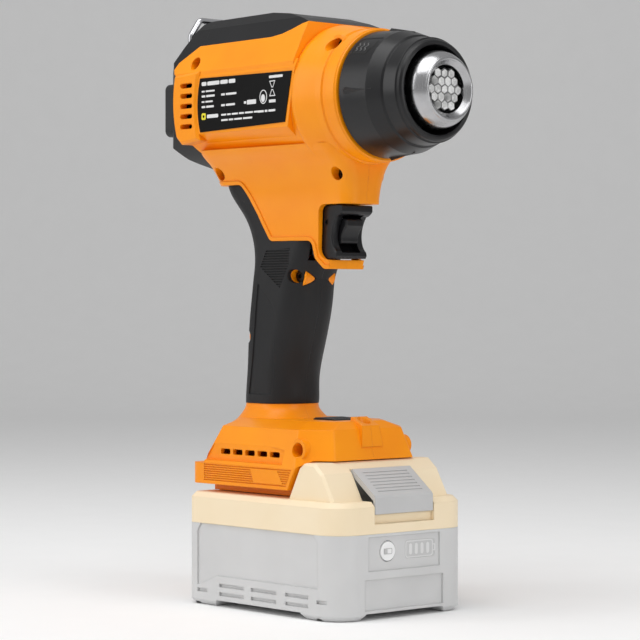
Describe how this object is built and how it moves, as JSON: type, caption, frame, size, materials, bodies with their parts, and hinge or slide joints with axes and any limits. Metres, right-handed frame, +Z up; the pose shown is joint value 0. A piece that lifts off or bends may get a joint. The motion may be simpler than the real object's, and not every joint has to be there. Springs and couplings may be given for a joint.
{
  "type": "cordless heat gun",
  "caption": "Pistol-grip cordless heat gun with a metal nozzle, soft grip, rear control panel, hanging bail and a slide-on battery pack.",
  "frame": {"origin": "middle of the battery pack's footprint, on the plane of its four corner feet", "axes": "+X out of the nozzle, +Y to the tool's left, +Z up"},
  "size_m": [0.1672, 0.078, 0.2679],
  "materials": {
    "orange_shell": "smooth moulded nylon, satin gloss, orange",
    "cover_black": "smooth moulded plastic, satin black",
    "soft_grip": "overmoulded soft elastomer, matt dark grey",
    "plate_black": "printed black film",
    "panel_black": "fine spark-eroded black plastic",
    "smoked_window": "smoked clear plastic",
    "display_grey": "segment display, grey green",
    "key_rubber": "moulded rubber key",
    "flange_black": "heat-resistant moulding",
    "collar_black": "glass-filled nylon, semi-gloss black",
    "nozzle_steel": "spun stainless steel, satin",
    "tube_steel": "rolled stainless steel",
    "bright_wire": "bright plated wire",
    "screw_steel": "black-oxide steel",
    "mica": "mica sheet",
    "white_ceramic": "unglazed cordierite, white",
    "coil_wire": "oxidised resistance wire",
    "inner_black": "moulded black nylon",
    "motor_steel": "zinc-plated steel can",
    "shaft_steel": "ground steel",
    "impeller_plastic": "moulded nylon",
    "board_green": "solder-masked board",
    "trigger_black": "semi-gloss black plastic",
    "spring_steel": "music wire",
    "insert_black": "ridged black plastic",
    "lamp_clear": "clear lamp lens",
    "contact_brass": "tinned brass",
    "lead_red": "silicone insulation, red",
    "pack_grey": "fine-grained light grey plastic",
    "pack_cream": "fine-grained cream plastic",
    "button_grey": "light grey plastic",
    "cell_wrap": "shrink-wrapped cells, blue",
    "nickel": "nickel strip",
    "gauge_white": "white plastic",
    "gauge_clear": "frosted clear plastic"
  },
  "bodies": {
    "tool_body": {"housing_right": "orange_shell", "housing_left": "orange_shell", "top_cover": "cover_black", "rear_cover": "cover_black", "grip_rubber_right": "soft_grip", "grip_rubber_left": "soft_grip", "housing_screws": "screw_steel", "rating_plate_right": "plate_black", "rating_plate_left": "plate_black", "control_panel": "panel_black", "display_window": "smoked_window", "display_module": "display_grey", "nose_flange": "flange_black", "outlet_nozzle": "nozzle_steel", "heater_tube": "tube_steel", "mica_sleeve": "mica", "outlet_honeycomb": "white_ceramic", "coil_former": "mica", "heating_coil": "coil_wire", "temperature_probe": "tube_steel", "air_duct": "inner_black", "fan_motor": "motor_steel", "main_board": "board_green", "trigger_switch": "inner_black", "trigger_spring": "spring_steel", "foot_insert": "insert_black", "work_lamp": "lamp_clear", "rail_shoe": "orange_shell", "terminal_block": "inner_black", "terminal_blades": "contact_brass", "power_leads": "lead_red"},
    "trigger_group": {"trigger": "trigger_black", "lever_pin": "screw_steel", "switch_plunger": "inner_black"},
    "lever_group": {"safety_lever": "trigger_black"},
    "fan_group": {"motor_shaft": "shaft_steel", "fan_impeller": "impeller_plastic"},
    "bail_group": {"hanging_bail": "bright_wire"},
    "collar_group": {"nose_collar": "collar_black"},
    "key_up_group": {"button_up": "key_rubber"},
    "key_mode_group": {"button_mode": "key_rubber"},
    "key_down_group": {"button_down": "key_rubber"},
    "pack_group": {"pack_lower_case": "pack_grey", "pack_upper_case": "pack_cream", "release_spring": "spring_steel", "pack_cells": "cell_wrap", "cell_holders": "inner_black", "cell_straps": "nickel", "pack_board": "board_green", "pack_terminals": "inner_black", "gauge_window": "gauge_clear", "pack_screws": "screw_steel"},
    "release_group": {"release_button": "button_grey"},
    "gauge_key_group": {"gauge_button": "gauge_white"}
  },
  "joints": [
    {"name": "trigger_slide", "type": "slide", "parent": "tool_body", "child": "trigger_group", "axis": [-1, 0, 0], "range_m": [0, 0.006], "stiffness_N_per_m": 800, "springref_m": -0.004, "deforming": ["trigger_spring"]},
    {"name": "lever_hinge", "type": "hinge", "parent": "trigger_group", "child": "lever_group", "pos_m": [0.0106, 0, 0.1702], "axis": [0, 1, 0], "range_deg": [0, 8], "stiffness_Nm_per_rad": 0.05, "springref_deg": -5.73},
    {"name": "fan_spin", "type": "hinge", "parent": "tool_body", "child": "fan_group", "pos_m": [-0.044, 0, 0.2247], "axis": [1, 0, 0], "continuous": true},
    {"name": "bail_hinge", "type": "hinge", "parent": "tool_body", "child": "bail_group", "pos_m": [-0.077, 0, 0.2474], "axis": [0, -1, 0], "range_deg": [0, 115]},
    {"name": "collar_twist", "type": "hinge", "parent": "tool_body", "child": "collar_group", "pos_m": [0.05, 0, 0.2247], "axis": [1, 0, 0], "range_deg": [0, 30]},
    {"name": "key_up_press", "type": "slide", "parent": "tool_body", "child": "key_up_group", "axis": [1, 0, 0], "range_m": [0, 0.0009], "stiffness_N_per_m": 1500, "springref_m": -0.0005},
    {"name": "key_mode_press", "type": "slide", "parent": "tool_body", "child": "key_mode_group", "axis": [1, 0, 0], "range_m": [0, 0.0009], "stiffness_N_per_m": 1500, "springref_m": -0.0005},
    {"name": "key_down_press", "type": "slide", "parent": "tool_body", "child": "key_down_group", "axis": [1, 0, 0], "range_m": [0, 0.0009], "stiffness_N_per_m": 1500, "springref_m": -0.0005},
    {"name": "pack_slide", "type": "slide", "parent": "tool_body", "child": "pack_group", "axis": [1, 0, 0], "range_m": [0, 0.075]},
    {"name": "release_press", "type": "slide", "parent": "pack_group", "child": "release_group", "axis": [0, 0, -1], "range_m": [0, 0.0035], "stiffness_N_per_m": 1200, "springref_m": -0.001, "deforming": ["release_spring"]},
    {"name": "gauge_press", "type": "slide", "parent": "pack_group", "child": "gauge_key_group", "axis": [-1, 0, 0], "range_m": [0, 0.0007], "stiffness_N_per_m": 1500, "springref_m": -0.0005}
  ]
}
